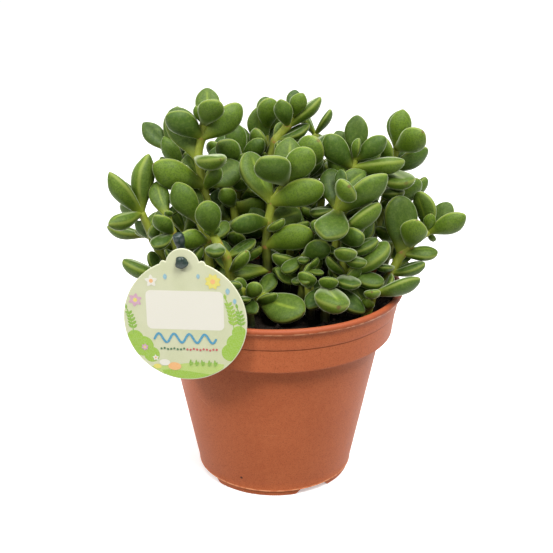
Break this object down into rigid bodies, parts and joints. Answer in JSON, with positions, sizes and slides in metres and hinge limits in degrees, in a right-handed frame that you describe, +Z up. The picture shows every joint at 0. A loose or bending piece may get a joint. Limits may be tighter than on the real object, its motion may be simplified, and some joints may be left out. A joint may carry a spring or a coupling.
{
  "type": "potted succulent plant",
  "caption": "Bushy crassula with thick oval leaves on upright stems, in a round tapered nursery pot with a rim band, and a round card tag held by a stake.",
  "frame": {"origin": "on the pot's axis, on the plane that its feet stand on; also the bottom centre of the whole plant's box", "axes": "+Z up along the pot's axis, -Y towards the side with the tag, +X to the right when looking at that side"},
  "size_m": [0.1704, 0.1212, 0.1817],
  "materials": {
    "terracotta_plastic": "semi-matte moulded plastic",
    "potting_mix": "coarse dark crumbs",
    "printed_card": "printed card with a satin coat",
    "green_plastic": "dark moulded plastic",
    "succulent_leaf": "finely velvety living leaf"
  },
  "bodies": {
    "root": {"pot": "terracotta_plastic", "potting_soil": "potting_mix", "shoot_back_1": "succulent_leaf", "shoot_back_10": "succulent_leaf", "shoot_back_2": "succulent_leaf", "shoot_back_3": "succulent_leaf", "shoot_back_4": "succulent_leaf", "shoot_back_5": "succulent_leaf", "shoot_back_6": "succulent_leaf", "shoot_back_7": "succulent_leaf", "shoot_back_8": "succulent_leaf", "shoot_back_9": "succulent_leaf", "shoot_back_centre": "succulent_leaf", "shoot_back_left": "succulent_leaf", "shoot_back_right": "succulent_leaf", "shoot_centre_front": "succulent_leaf", "shoot_centre_mid": "succulent_leaf", "shoot_centre_right_top": "succulent_leaf", "shoot_centre_small": "succulent_leaf", "shoot_centre_top": "succulent_leaf", "shoot_far_left": "succulent_leaf", "shoot_front_low": "succulent_leaf", "shoot_front_right": "succulent_leaf", "shoot_front_tag": "succulent_leaf", "shoot_inner_1": "succulent_leaf", "shoot_inner_2": "succulent_leaf", "shoot_inner_3": "succulent_leaf", "shoot_inner_4": "succulent_leaf", "shoot_inner_5": "succulent_leaf", "shoot_inner_6": "succulent_leaf", "shoot_inner_7": "succulent_leaf", "shoot_inner_8": "succulent_leaf", "shoot_left_back": "succulent_leaf", "shoot_left_front": "succulent_leaf", "shoot_left_inner": "succulent_leaf", "shoot_left_low": "succulent_leaf", "shoot_left_mid": "succulent_leaf", "shoot_left_tall": "succulent_leaf", "shoot_mid_back": "succulent_leaf", "shoot_right_centre": "succulent_leaf", "shoot_right_low": "succulent_leaf", "shoot_right_out": "succulent_leaf", "shoot_right_rim": "succulent_leaf", "shoot_right_upper": "succulent_leaf", "shoot_sprawling": "succulent_leaf", "tag_card": "printed_card", "tag_stake": "green_plastic"}
  },
  "joints": []
}
